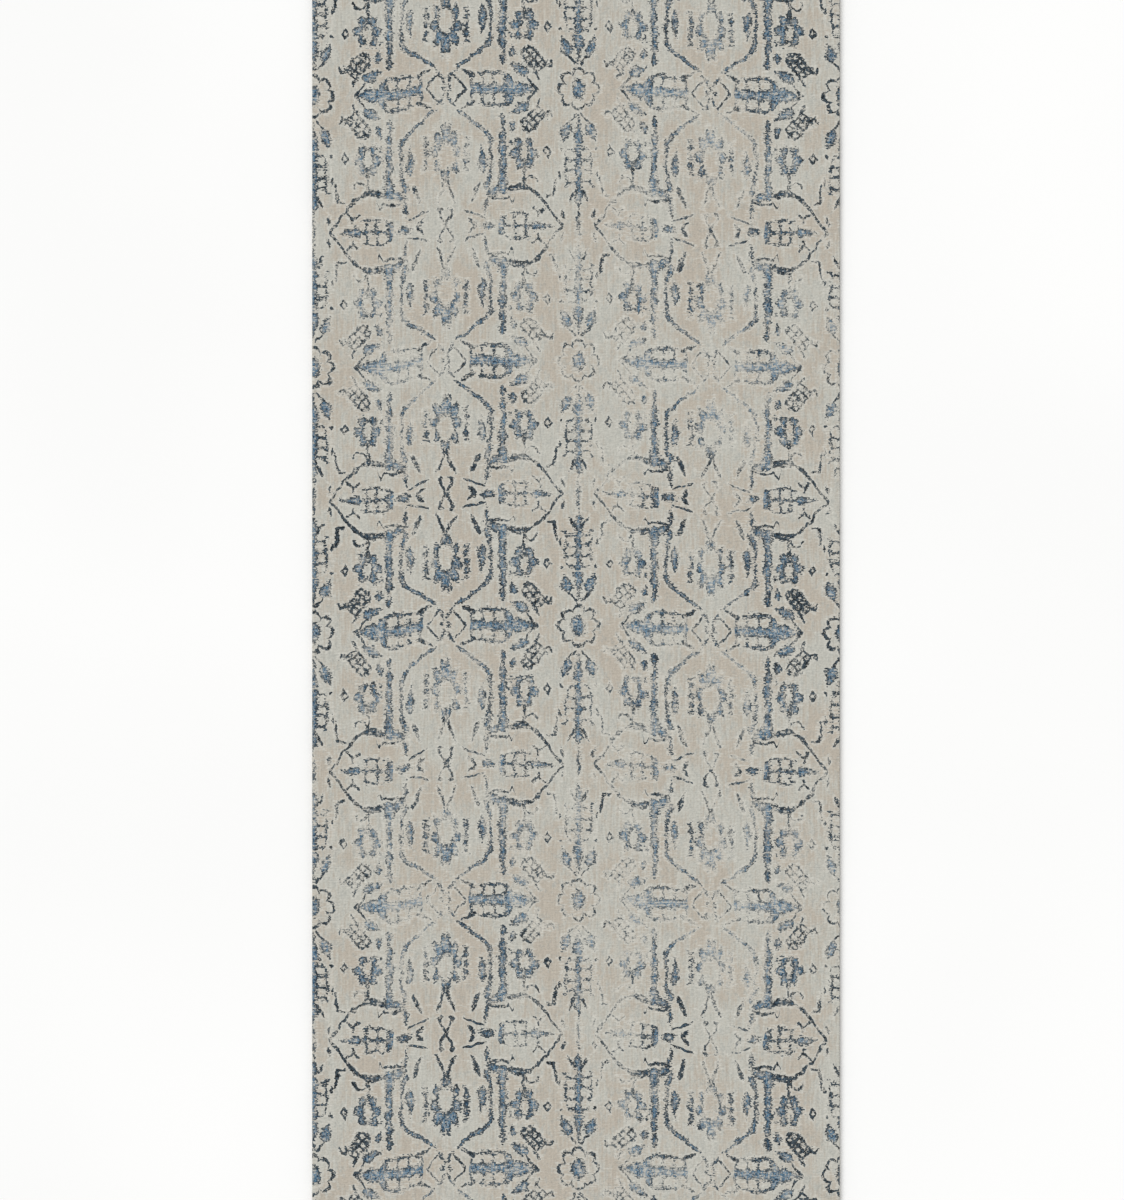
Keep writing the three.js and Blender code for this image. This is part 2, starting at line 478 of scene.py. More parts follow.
    # Open rosette with two thick sides, its stem, its curl and a row of dots under it.
    flower = petals(m, p, (117, 96), 22, 25, 6, 0.36, 0.5 * pi)
    solid(cut(m, flower, oval(m, p, (117, 93), 5.5, 12)))
    drawn(line(m, p, (117, 116), (116, 142), 3, 1.2, 1.2))
    dots = m.sub(m.length(m.vector(m.fold(m.sub(u, 97), 3.8), m.scaled(m.sub(v, 79), 0.6))), 2.2)
    solid(m.maximum(dots, m.sub(m.absolute(m.sub(u, 112)), 17)))
    curl = m.sub(m.absolute(m.sub(m.length(m.place(p, (128, 138), 0, (1, 1))), 9)), 1.1)
    drawn(m.maximum(curl, m.sub(v, 138)))

    # Open diamond between the bar and the flower column.
    diamond = m.add(m.scaled(m.absolute(m.sub(u, 152)), 1.4), m.absolute(m.sub(v, 93)))
    drawn(m.sub(m.absolute(m.sub(diamond, 6.5)), 2.4))

    # Bar and its foot.
    solid(spindle(m, p, (85, 38), (85, 152), [
        (-0.03, -4), (0, 2), (0.08, 4.5), (0.16, 2.6), (0.26, 5.5), (0.37, 4.5), (0.45, 7), (0.55, 5), (0.64, 6.5),
        (0.73, 5.2), (0.85, 7.2), (0.94, 8), (1, 7), (1.04, -4)]))
    solid(oval(m, p, (73, 150), 15, 7, -0.5))

    # Leaves inside and outside the frame.
    solid(leaf(m, p, (55, 124), (53, 82), 6.5))

    # Big rosette on the crossing column, with a string of blocks on each side.
    solid(cut(m, petals(m, p, (0, 94), 24, 44, 9, 0.36, 0.5 * pi), oval(m, p, (0, 102), 11.5, 19)))
    block = m.vector(m.sub(u, 30), m.scaled(m.fold(m.sub(v, 96), 6.5), 0.7))
    solid(m.maximum(m.sub(m.length(block), 4.3), m.sub(m.absolute(m.sub(v, 96)), 25)))

    # Flower with a scalloped outline and a solid middle.
    lobe = m.absolute(m.sine(m.scaled(m.angle(pw), 4, 0.5 * pi)))
    scallop = m.scaled(m.math("SQRT", lobe), 10, 20.5)
    drawn(m.sub(m.absolute(m.sub(m.length(pw), scallop)), 1.9))
    solid(oval(m, pw, (0, 0), 10.5, 15.5))

    # Leaf on its stem, spindle, vase and spire up the flower column.
    solid(leaf(m, pw, (14, 50), (24.5, 79), 8.5))
    solid(spindle(m, pw, (0, 38), (0, 80), [
        (-0.05, -4), (0, 0.5), (0.25, 2.5), (0.5, 4.5), (0.8, 7.5), (0.97, 8), (1.01, 6), (1.04, -4)]))
    vase = spindle(m, pw, (0, 84), (0, 144), [
        (-0.03, -4), (0, 9), (0.06, 14), (0.2, 18.5), (0.4, 21), (0.7, 21), (0.86, 19), (0.93, 20), (1, 24),
        (1.03, -4)])
    solid(cut(m, vase, window(m, m.absolute(m.sub(w, 11.5)), m.fold(m.sub(v, 97), 8), 6.3, 6.2, 4)))
    solid(spindle(m, pw, (0, 142), (0, 206), [
        (-0.02, -4), (0, 3), (0.12, 5), (0.24, 6.5), (0.36, 4.5), (0.46, 2), (0.55, 0.6), (0.66, 1.6), (0.75, 3),
        (0.9, 3), (1, 3.4), (1.1, 3.4)]))
    drawn(line(m, pw, (33, 131), (36, 157), 0.8, 1.4, 1.6))
    drawn(line(m, pw, (36, 157), (47, 159), 1.4, 1.4, 1))

    # Strokes round the inner end of the medallion.
    solid(leaf(m, p, (62, 159), (59, 186), 3.6))
    drawn(line(m, p, (34, 191), (44, 202), 0.6, 2.6, 1))

    # Barrel, end bead and palmette on the tip row.
    solid(lantern(m, pt, u, t, 80, 131, 20, (111, 16, 6.2, 7, 9.5)))
    solid(oval(m, pt, (63, 0), 10.5, 6.2))
    solid(spindle(m, pt, (128, 0), (160, 0), [
        (-0.1, -4), (0, 3), (0.18, 7.5), (0.4, 5.5), (0.7, 3.4), (1, 0.5), (1.1, -4)]))
    drawn(line(m, pt, (139, 12), (139, 20), 1.2, 1.2, 1.2))
    drawn(line(m, pt, (139, 19), (130, 27), 1.4, 1.2, 1))
    drawn(line(m, pt, (139, 19), (148, 27), 1.4, 1.2, 1))

    return shape, thin


# ---------------------------------------------------------------- pile material

# Where the middle of the rug falls in the grid of repeats.
GRID_U = 194.4
GRID_V = 42.3

# How far the repeats wander from an even grid, in millimetres along the rug: first across it, then along it. These are
# rounded from offsets that were measured on the photograph.
DRIFT_ACROSS = [
    (-395, 11), (-290, 11), (-200, 0), (-100, 0.5), (0, 1), (40, 0), (110, 5), (200, 8), (300, 11), (395, 12),
]
DRIFT_ALONG = [
    (-1220, 0), (-900, 0), (-648, 0), (-446, 2), (-244, 0.7), (-150, -2), (-42, -5), (60, -4), (160, 0), (359, 3),
    (561, 2.7), (763, 0), (1000, 0), (1220, 0),
]


# How the wear varies, over a length of the rug that repeats: (across, along, half-width, half-length, change), in
# millimetres, where a positive change is ink that is better kept. The patches are placed one by one.
WEAR_REPEAT = 807.6
WEAR_START = -254
WEAR = [
    # left of the middle, from the head end down
    (-320, 530, 55, 60, 0.2), (-70, 530, 40, 40, 0.25), (-190, 500, 70, 50, -0.2), (-105, 490, 60, 60, -0.15),
    (-320, 435, 65, 75, -0.22), (-125, 415, 28, 70, 0.3), (-390, 320, 50, 120, 0.25), (-255, 345, 65, 60, -0.35),
    (-140, 315, 75, 40, 0.35), (-60, 390, 50, 70, -0.2), (-30, 325, 45, 40, -0.25), (-250, 265, 50, 60, -0.15),
    (-322, 262, 30, 50, 0.3), (-35, 250, 30, 60, 0.35), (-110, 245, 30, 30, 0.2), (-320, 150, 80, 60, 0.3),
    (-165, 120, 65, 140, 0.35), (-85, 170, 30, 60, -0.1), (-360, 10, 80, 110, 0.35), (-200, 0, 110, 65, 0.28),
    (-30, 40, 80, 100, 0.3), (-90, -120, 70, 85, 0.18), (-10, -90, 50, 70, 0.1), (-240, -100, 90, 40, 0.05),
    (-185, -150, 50, 45, -0.12), (-225, -210, 70, 45, -0.3), (-160, -215, 60, 40, -0.2), (-345, -160, 30, 50, -0.1),
    (-375, -190, 40, 50, 0.15), (-310, -235, 55, 40, 0.25), (-60, -235, 40, 40, 0.15),
    # right of the middle
    (20, 505, 90, 70, -0.35), (75, 440, 60, 60, -0.25), (150, 460, 60, 70, 0.08), (300, 535, 60, 50, 0.3),
    (230, 480, 65, 60, -0.35), (385, 490, 50, 70, -0.15), (235, 395, 65, 60, -0.35), (345, 395, 60, 55, -0.3),
    (60, 330, 65, 85, -0.4), (235, 305, 60, 60, -0.45), (150, 320, 40, 30, -0.2), (70, 245, 45, 70, -0.4),
    (148, 260, 35, 60, 0.25), (240, 235, 60, 60, -0.4), (300, 245, 30, 60, 0.3), (345, 260, 30, 50, 0.15),
    (40, 165, 70, 50, -0.4), (140, 150, 55, 65, 0.45), (212, 165, 45, 55, -0.35), (320, 150, 80, 70, 0.3),
    (385, 160, 30, 70, -0.2), (60, 95, 40, 50, -0.25), (198, 90, 40, 60, -0.3), (145, 15, 60, 55, 0.35),
    (75, 5, 35, 50, -0.15), (300, 30, 70, 80, 0.35), (375, -10, 60, 80, 0.3), (152, -60, 45, 35, -0.2),
    (60, -90, 40, 60, -0.15), (218, -55, 25, 30, 0.2), (215, -125, 60, 50, -0.35), (280, -80, 35, 50, 0.2),
    (335, -110, 70, 60, 0.15), (392, -130, 55, 110, 0.35), (75, -170, 55, 70, -0.2), (165, -150, 50, 40, 0.05),
    (225, -215, 55, 50, -0.35), (75, -225, 50, 50, -0.25), (300, -235, 70, 40, 0.25), (5, -220, 60, 40, -0.15),
    # small patches that are kept better
    (30, 490, 32, 45, 0.6), (75, 445, 35, 25, 0.4), (-25, 470, 22, 25, 0.3), (-155, 470, 22, 22, 0.3),
    (-75, 520, 25, 20, 0.3), (-375, 450, 30, 28, 0.4), (-245, 385, 35, 18, 0.3), (-375, 230, 25, 45, 0.45),
    (-305, 180, 25, 20, 0.35), (-240, 150, 22, 35, 0.25), (-150, 155, 35, 22, 0.3), (-85, 190, 30, 20, 0.25),
    (-350, 90, 28, 25, 0.4), (50, 310, 15, 50, 0.5), (35, 265, 22, 18, 0.4), (82, 255, 28, 20, 0.5),
    (75, 190, 30, 14, 0.3), (-28, 112, 15, 18, 0.3), (218, 355, 20, 18, 0.5), (198, 390, 25, 15, 0.3),
    (268, 385, 22, 35, 0.5), (285, 455, 25, 20, 0.35), (232, 450, 12, 20, 0.35), (392, 445, 30, 28, 0.45),
    (265, 300, 18, 45, 0.35), (235, 190, 20, 18, 0.4), (390, 225, 25, 30, 0.4), (-125, 5, 25, 30, 0.3),
    (-262, -10, 28, 18, 0.35), (-180, -40, 20, 20, 0.15), (-350, -120, 30, 25, 0.3), (-255, -190, 40, 18, 0.35),
    (-250, -230, 40, 16, 0.45), (-182, -185, 28, 22, 0.4), (-125, -215, 35, 18, 0.25), (125, -85, 25, 14, 0.35),
    (175, -115, 14, 30, 0.3), (98, -160, 25, 25, 0.4), (65, -145, 20, 35, 0.2), (95, -215, 35, 14, 0.45),
    (225, -155, 15, 30, 0.35), (222, 70, 18, 30, 0.3), (390, 80, 30, 40, 0.3), (272, -10, 22, 22, 0.35),
    # small patches that are worn further
    (-190, 485, 30, 30, -0.15), (-340, 305, 28, 25, -0.3), (-40, 335, 45, 30, -0.3),
    (165, 330, 25, 35, -0.3), (203, 417, 25, 20, -0.25), (242, 400, 15, 20, -0.25), (242, -100, 28, 35, -0.35),
    (215, -235, 40, 30, -0.35), (390, 545, 30, 15, -0.3),
    (248, 232, 22, 30, -0.25), (362, 225, 20, 20, -0.25), (-370, 150, 25, 25, -0.25), (82, 160, 22, 18, -0.25),
    (-40, -75, 22, 25, -0.3), (48, -65, 22, 30, -0.25), (200, 20, 20, 22, -0.3),
    (-170, -130, 45, 22, -0.25), (360, -160, 20, 45, -0.2), (68, 325, 22, 22, -0.3),
    (80, 235, 25, 18, -0.25), (5, 495, 25, 28, -0.35), (320, 210, 25, 30, -0.3), (335, 470, 28, 25, -0.25),
    (-80, 222, 28, 16, -0.2), (-140, 225, 20, 20, -0.2), (-230, -35, 25, 25, -0.15), (345, -40, 45, 18, -0.15),
    (-195, 55, 30, 22, -0.15), (245, 150, 20, 25, -0.25), (205, -140, 18, 28, -0.25), (-225, -200, 18, 25, -0.2),
    # and more that are kept better
    (-385, -170, 30, 60, 0.35), (-350, 78, 30, 35, 0.35), (-375, 125, 30, 22, 0.3), (-185, -232, 30, 20, 0.45),
    (-325, -128, 28, 16, 0.3), (-305, 380, 22, 55, 0.3), (-265, 295, 28, 22, 0.3), (-230, 480, 20, 28, 0.35),
    (-208, 520, 18, 22, 0.3), (-222, 240, 18, 25, 0.3), (-48, 430, 20, 20, 0.35), (-42, 235, 20, 28, 0.35),
    (285, 410, 35, 35, 0.35), (392, 498, 30, 20, 0.5), (200, 205, 30, 28, 0.35), (190, 135, 22, 28, 0.35),
    (180, -170, 16, 28, 0.35), (178, 468, 20, 22, 0.4), (222, 520, 12, 25, 0.35), (12, 340, 22, 25, 0.35),
    (50, 490, 15, 30, 0.35), (0, -215, 50, 35, 0.35), (0, 130, 55, 30, 0.3), (5, 195, 40, 18, 0.3),
    (55, 140, 25, 25, 0.3), (285, -105, 25, 20, 0.25), (115, -95, 25, 22, 0.2), (-40, -160, 20, 18, 0.3),
]


def wear_field(m, x, y):
    """How well the ink is kept, above or below its usual amount."""
    y = m.wrap(y, WEAR_START, WEAR_START + WEAR_REPEAT)
    total = 0.0
    for across, along, half_width, half_length, change in WEAR:
        beside = m.scaled(x, 1 / half_width, -across / half_width)
        squared = m.math("MULTIPLY", beside, beside)
        ahead = m.scaled(y, 1 / half_length, -along / half_length)
        squared = m.math("MULTIPLY_ADD", ahead, ahead, squared)
        total = m.math("MULTIPLY_ADD", m.step(squared, 1.5, 0.05), change, total)
    return total


def pile_material():
    m = Maths("worn_pile")
    x, y, _ = m.here()
    p = m.vector(x, y)

    # Noise that everything below shares: knots, teeth along the rows, streaks along the warp, worn patches.
    knots = m.noise(p, (3.4, 3), 1, detail=1)
    specks = m.noise(p, (3, 3.6), 7, detail=1)
    teeth = m.noise(p, (10, 2.3), 2, detail=0)
    streaks = m.noise(p, (3.2, 36), 3, detail=2)
    patches = m.noise(p, (9, 13), 6, detail=2, roughness=0.6)
    clouds = m.noise(p, (70, 110), 4, detail=2)

    sway = m.noise(p, (26, 22), 5, detail=1)
    jolt = m.noise(p, (9, 11), 8, detail=0)
    drift = m.add(m.graph(x, DRIFT_ACROSS), m.graph(y, DRIFT_ALONG))
    u = m.fold(m.add(m.add(m.scaled(sway, 1.6, GRID_U), m.scaled(jolt, 0.8)), x), REPEAT_U)
    v = m.fold(m.add(m.add(m.scaled(sway, -1.2, GRID_V), m.scaled(jolt, -0.9)), m.add(drift, y)), REPEAT_V)
    shape, thin = design(m, u, v)

    # Wear: fragments are missing, and what is left of the ink is paler in places.
    usual = m.scaled(m.maximum(wear_field(m, x, y), -0.45), 0.55, 0.43)
    left = m.add(usual, m.add(m.scaled(patches, 0.28), m.scaled(streaks, 0.1)))

    # Ragged edges, with motifs that shrink where they are worn.
    rough = m.add(m.add(m.scaled(knots, 1.5), m.scaled(teeth, 1.9)), m.scaled(patches, 0.8))
    edge = m.minimum(m.add(shape, rough), m.add(thin, m.scaled(rough, 0.5, -0.5)))
    edge = m.add(edge, m.scaled(left, -2.4, 1.1))
    inked = m.step(edge, 0.25, -0.5)

    kept = m.step(m.add(left, m.add(m.scaled(specks, 0.52), m.scaled(teeth, 0.34))), 0.14, 0.27)
    fresh = m.step(m.add(left, m.scaled(knots, 0.1)), 0.05, 0.6)
    ghost = m.step(specks, 0.2, -0.6)
    strength = m.math("MULTIPLY", kept, m.scaled(fresh, 0.4, 0.6))
    ink = m.math("MULTIPLY", inked, m.maximum(strength, m.scaled(ghost, 0.22)))

    # Broad shapes are mottled inside.
    mottle = m.math("MULTIPLY", m.step(shape, -1.5, -4), m.step(m.add(knots, m.scaled(specks, 0.6)), -0.1, 0.5))
    ink = m.math("MULTIPLY", ink, m.scaled(mottle, -0.32, 1))

    # Ink colours: nearly black round the edges and on thin lines, blue inside.
    depth = m.minimum(shape, m.add(thin, 1.6))
    depth = m.step(m.add(depth, m.add(m.scaled(knots, 1.8), m.scaled(specks, 2.6))), -1.8, -4.4)
    tone = m.add(m.scaled(specks, 1, 0.5), m.scaled(streaks, 0.3))
    blue = m.mix(m.step(tone, 0, 1), srgb(32, 55, 74), srgb(88, 122, 146))
    charcoal = m.mix(m.step(tone, 0.1, 0.9), srgb(14, 21, 27), srgb(64, 76, 84))
    ink_colour = m.mix(depth, charcoal, blue)

    # Ground: warm grey, with a painted highlight as a pale band beside the ink, mottled and streaked.
    change = m.step(m.add(clouds, m.add(m.scaled(streaks, 0.5), m.scaled(patches, 0.5))), -0.8, 0.8)
    ground = m.mix(change, srgb(181, 173, 160), srgb(186, 185, 176))
    # Painted highlight: the ground is lightened to a pale band along the ink's edges.
    beside = m.math("MULTIPLY", m.step(m.add(edge, m.scaled(teeth, 1.5)), 5, 1), 0.7)
    ground = m.mix(beside, ground, srgb(201, 199, 190))
    smudge = m.math("MULTIPLY", m.step(m.add(patches, m.scaled(specks, 0.7)), 0.2, 0.9), 0.3)
    ground = m.mix(smudge, ground, srgb(150, 153, 149))
    ground = m.lit(ground, m.scaled(m.add(knots, m.scaled(streaks, 0.7)), 0.075, 1))

    m.bump(m.add(m.scaled(knots, 0.25, 0.5), m.scaled(teeth, 0.15)), 0.5)
    return m.finish(m.mix(ink, ground, ink_colour), m.scaled(knots, 0.04, 0.9), sheen=0.08)


# ---------------------------------------------------------------- other materials


def yarn_material(name, light, dark, size, depth, roughness=0.85, seed=11):
    """Spun yarn: fine fibres over slow changes of colour."""
    m = Maths(name)
    x, y, z = m.here()
    fibres = m.noise(m.vector(m.add(x, z), y), size, seed, detail=3, roughness=0.6)
    slow = m.noise(m.vector(x, y), (30, 55), seed + 1)
    colour = m.mix(m.step(m.add(fibres, m.scaled(slow, 0.6)), -1, 1), srgb(*dark), srgb(*light))
    m.bump(m.scaled(fibres, 0.5, 0.5), depth)
    return m.finish(colour, m.scaled(fibres, 0.05, roughness), sheen=0.12)


def woven_material(name, warp, weft, gap_shade, pitch, depth, roughness=0.9, seed=21):
    """A plain weave of warp along the rug and weft across it, pitch apart, with painted shade in the gaps at the
    corners.
    """
    m = Maths(name)
    x, y, _ = m.here()
    p = m.vector(x, y)
    uneven = m.noise(p, (18, 14), seed)
    px = m.add(m.scaled(x, pi / pitch[0]), m.scaled(uneven, 0.25))
    py = m.add(m.scaled(y, pi / pitch[1]), m.scaled(uneven, 0.25))
    sx, sy = m.sine(px), m.sine(py)
    ridge_warp = m.absolute(sx)
    ridge_weft = m.absolute(sy)
    over = m.step(m.math("MULTIPLY", m.sine(m.scaled(px, 1, pi / 2)), m.sine(m.scaled(py, 1, pi / 2))), -0.1, 0.1)
    height = m.add(m.math("MULTIPLY", over, ridge_warp), m.math("MULTIPLY", m.scaled(over, -1, 1), ridge_weft))
    fibres = m.noise(p, (1.2, 1.2), seed + 1, detail=3)
    colour = m.mix(over, srgb(*weft), srgb(*warp))
    colour = m.lit(colour, m.scaled(m.add(fibres, m.scaled(uneven, 0.6)), 0.07, 1))
    # Painted shade: the low gaps between the threads are darkened.
    colour = m.mix(m.step(height, 0.55, 0.15), colour, srgb(*gap_shade))
    m.bump(m.add(height, m.scaled(fibres, 0.12)), depth)
    return m.finish(colour, m.scaled(fibres, 0.04, roughness), sheen=0.05)


def latex_material():
    m = Maths("dried_latex")
    x, y, _ = m.here()
    p = m.vector(x, y)
    puddles = m.noise(p, (6, 9), 31, detail=4, roughness=0.6)
    grain = m.noise(p, (0.9, 0.9), 32, detail=2)
    colour = m.mix(m.step(puddles, -0.8, 0.8), srgb(196, 188, 168), srgb(222, 216, 200))
    colour = m.lit(colour, m.scaled(grain, 0.03, 1))
    m.bump(m.scaled(puddles, 0.5, 0.5), 0.3)
    return m.finish(colour, m.scaled(puddles, 0.12, 0.55))


def tape_material():
    """Herringbone twill: diagonal ribs that turn back every few millimetres."""
    m = Maths("herringbone_tape")
    x, y, z = m.here()
    across = m.add(y, z)
    slant = m.fold(across, 3.5)
    ribs = m.sine(m.scaled(m.add(x, slant), 2 * pi / 1.6))
    uneven = m.noise(m.vector(x, across), (12, 3), 41)
    fibres = m.noise(m.vector(x, across), (0.7, 0.5), 42, detail=3)
    # Painted shade: the colour is darker in the grooves between the ribs than on their crests.
    colour = m.mix(m.step(m.add(ribs, m.scaled(fibres, 0.5)), -1, 1), srgb(140, 132, 116), srgb(186, 179, 162))
    colour = m.lit(colour, m.scaled(uneven, 0.05, 1))
    m.bump(m.add(m.scaled(ribs, 0.4, 0.5), m.scaled(fibres, 0.1)), 0.25)
    return m.finish(colour, m.scaled(fibres, 0.05, 0.82), sheen=0.06)


def satin_material():
    """Smooth satin ribbon with a slightly darker woven edge."""
    m = Maths("label_satin")
    x, y, _ = m.here()
    middle_x, middle_y = (LABEL_LOW[0] + LABEL_HIGH[0]) / 2, (LABEL_LOW[1] + LABEL_HIGH[1]) / 2
    floats = m.noise(m.vector(x, y), (0.4, 5), 51, detail=2)
    weft = m.sine(m.scaled(y, 2 * pi / 0.5))
    rim = m.minimum(
        m.scaled(m.absolute(m.sub(x, middle_x)), -1, (LABEL_HIGH[0] - LABEL_LOW[0]) / 2),
        m.scaled(m.absolute(m.sub(y, middle_y)), -1, (LABEL_HIGH[1] - LABEL_LOW[1]) / 2),
    )
    colour = m.mix(m.step(rim, 2.2, 1.8), srgb(228, 225, 216), srgb(205, 200, 188))
    colour = m.lit(colour, m.scaled(m.add(floats, m.scaled(weft, 0.3)), 0.04, 1))
    m.bump(m.add(m.scaled(floats, 0.3, 0.5), m.scaled(weft, 0.15)), 0.06)
    return m.finish(colour, m.scaled(floats, 0.08, 0.42), sheen=0.2)


# ---------------------------------------------------------------- meshes


def add_piece(name, points, faces, material, node, slot=None):
    """A mesh object from points in millimetres, riding on the rug's body in place of its CAD node."""
    mesh = bpy.data.meshes.new(name)
    mesh.from_pydata([(a * MM, b * MM, c * MM) for a, b, c in points], [], faces)
    work = bmesh.new()
    work.from_mesh(mesh)
    bmesh.ops.recalc_face_normals(work, faces=work.faces)
    work.to_mesh(mesh)
    work.free()
    mesh.polygons.foreach_set("use_smooth", [True] * len(mesh.polygons))
    mesh.materials.append(material)
    piece = bpy.data.objects.new(name, mesh)
    bpy.context.scene.collection.objects.link(piece)
    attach(piece, "root")
    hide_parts(node)
    return piece


def loft(rows):
    """Points and faces of a closed body through rows of points, one closed outline to a row, with flat ends."""
    count = len(rows[0])
    points = [point for row in rows for point in row]
    faces = []
    for i in range(len(rows) - 1):
        for j in range(count):
            k = (j + 1) % count
            faces.append((i * count + j, i * count + k, (i + 1) * count + k, (i + 1) * count + j))
    faces.append(tuple(range(count - 1, -1, -1)))
    faces.append(tuple(range((len(rows) - 1) * count, len(rows) * count)))
    return points, faces


def spaced(low, high, steps):
    return [low + (high - low) * i / steps for i in range(steps + 1)]


def arc(centre_x, centre_y, radius_x, radius_y, start, end, steps):
    return [
        (centre_x + radius_x * cos(a), centre_y + radius_y * sin(a))
        for a in spaced(start, end, steps)
    ]


def swell(x, y, size, seed):
    """Slow noise from about -1 to 1 for relief, the same on each run."""
    return noise.noise(Vector((x / size[0], y / size[1], seed * 7.7)))


# The pile: cut ends that round over at every side, on a top with slight swells and worn hollows.
PILE_ROUND = 1.6
PILE_OVER_SERGING = 6.0
PILE_COLUMNS = 142
PILE_ROWS = 436
PILE_EASE = 6
SERGING_REACH = 9


def make_pile():
    outer, top = PILE_HIGH[0], PILE_HIGH[2]
    bottom, end = PILE_LOW[2], PILE_HIGH[1]
    field = SERGING_HIGH[0] - SERGING_REACH - CLEARANCE
    r = PILE_ROUND
    right = [(field, bottom), (field, PILE_OVER_SERGING), (outer, PILE_OVER_SERGING)]
    right += arc(outer - r, top - r, r, r, 0, pi / 2, 4)
    left = [(-a, b) for a, b in reversed(right)]
    crown = [(a, top) for a in spaced(outer - r, r - outer, PILE_COLUMNS)[1:-1]]
    floor = [(a, bottom) for a in spaced(-field, field, 4)[1:-1]]
    outline = right + crown + left + floor
    stations = [0, 0.25, 0.7, 1.6, 3.5]
    ys = [e - end for e in stations] + spaced(PILE_EASE - end, end - PILE_EASE, PILE_ROWS)
    ys += [end - e for e in reversed(stations)]
    rows = []
    for y in ys:
        e = min(end - abs(y), r)
        lid = top - r + sqrt(max(r * r - (r - e) ** 2, 0))
        row = []
        for a, b in outline:
            if b > top - r + 0.01:
                relief = 0.16 * swell(a, y, (55, 80), 1) + 0.1 * swell(a, y, (14, 18), 2) - 0.12
                near = min(1, (outer - abs(a)) / PILE_EASE, (end - abs(y)) / PILE_EASE)
                row.append((a, y, min(b, lid) + relief * max(near, 0.2)))
            else:
                row.append((a, y, b))
        rows.append(row)
    return loft(rows)


def lay_out_pile(mesh):
    """A flat map of the pile, so that its pattern can be baked finely: its top in four lengths, two by two, and a
    narrow lane over them for each strip of its sides and underside."""
    spots = [(v.co.x / MM, v.co.y / MM, v.co.z / MM) for v in mesh.vertices]
    count = next(i for i, spot in enumerate(spots) if spot[1] > spots[0][1])
    layer = mesh.uv_layers.new(name="OFBake")
    half_width, half_length = PILE_HIGH[0], PILE_HIGH[1]
    quarter = half_length / 2
    lanes = {}
    for face in mesh.polygons:
        corners = [spots[i] for i in face.vertices]
        middle = sum(y for _, y, _ in corners) / len(corners)
        cap = len(corners) > 4
        if not cap and min(z for _, _, z in corners) > PILE_OVER_SERGING + 0.5:
            length = min(int((middle + half_length) / quarter), 3)
            low_u, low_v = 0.01 + 0.5 * (length % 2), 0.01 + 0.455 * (length // 2)
            for loop, (x, y, _) in zip(face.loop_indices, corners):
                part = (y + half_length) / quarter - length
                layer.data[loop].uv = (low_u + 0.48 * (x + half_width) / (2 * half_width), low_v + 0.43 * part)
        elif cap:
            low_u = 0.01 if middle < 0 else 0.51
            for loop, (x, _, z) in zip(face.loop_indices, corners):
                across = (x + half_width) / (2 * half_width)
                up = (z - PILE_LOW[2]) / (PILE_HIGH[2] - PILE_LOW[2])
                layer.data[loop].uv = (low_u + 0.48 * across, 0.978 + 0.014 * up)
        else:
            columns = sorted({i % count for i in face.vertices})
            lane = (columns[0] + 1) % count if columns[1] - columns[0] == 1 else 0
            low_v = 0.915 + 0.0052 * lanes.setdefault(lane, len(lanes))
            far = (lane - 1) % count
            for loop, i in zip(face.loop_indices, face.vertices):
                part = (spots[i][1] + half_length) / (2 * half_length)
                layer.data[loop].uv = (0.01 + 0.98 * part, low_v + (0.004 if i % count == far else 0))


# The serging: yarn wrapped side by side over the edge, each turn leaning a little.
WRAP_PITCH = 3.0
WRAP_DEPTH = 0.42
WRAP_LEAN = 0.35
SLOT_BOTTOM = 1.4
SLOT_TOP = 4.5


def make_serging(side):
    middle = (SLOT_BOTTOM + SLOT_TOP) / 2
    slot = (SLOT_TOP - SLOT_BOTTOM) / 2
    top = SERGING_HIGH[2]
    above, below = top - middle, middle - SERGING_LOW[2]
    cord_x = SERGING_HIGH[0] - above
    inner = SERGING_LOW[0]
    outside = [(inner, SERGING_LOW[2])] + arc(cord_x, middle, above, below, -pi / 2, 0, 6)
    outside += arc(cord_x, middle, above, above, 0, pi / 2, 6)[1:] + [(inner, top)]
    inside = [(inner, SLOT_TOP)] + arc(cord_x, middle, slot, slot, pi / 2, -pi / 2, 4) + [(inner, SLOT_BOTTOM)]
    end = SERGING_HIGH[1]
    turns = round(2 * end / WRAP_PITCH)
    rows = []
    for y in spaced(-end, end, 4 * turns):
        row = []
        for i, (a, b) in enumerate(outside):
            lean = WRAP_LEAN * i + 0.3 * swell(0, y, (1, 9), 3)
            groove = WRAP_DEPTH * (1 - abs(sin(pi * (y + lean) / WRAP_PITCH)))
            away = Vector((a - cord_x, b - middle))
            if a < cord_x:
                away.x = 0
            pull = away.normalized() * groove
            row.append((side * (a - pull.x), y * side, b - pull.y))
        row += [(side * a, y * side, b) for a, b in inside]
        rows.append(row)
    return loft(rows)


# The edge cord: three plies twisted together.
PLY_PITCH = 9.0


def make_cord(side):
    radius = (CORD_HIGH[0] - CORD_LOW[0]) / 2
    centre_x = side * (CORD_HIGH[0] + CORD_LOW[0]) / 2
    centre_z = (CORD_HIGH[2] + CORD_LOW[2]) / 2
    end = CORD_HIGH[1]
    rows = []
    for y in spaced(-end, end, round(2 * end / (PLY_PITCH / 8))):
        row = []
        for i in range(12):
            a = i * pi / 6
            ply = radius * (0.8 + 0.2 * abs(cos(1.5 * (a - 2 * pi * y / PLY_PITCH))))
            row.append((centre_x + ply * cos(a), y, centre_z + ply * sin(a)))
        rows.append(row)
    return loft(rows)


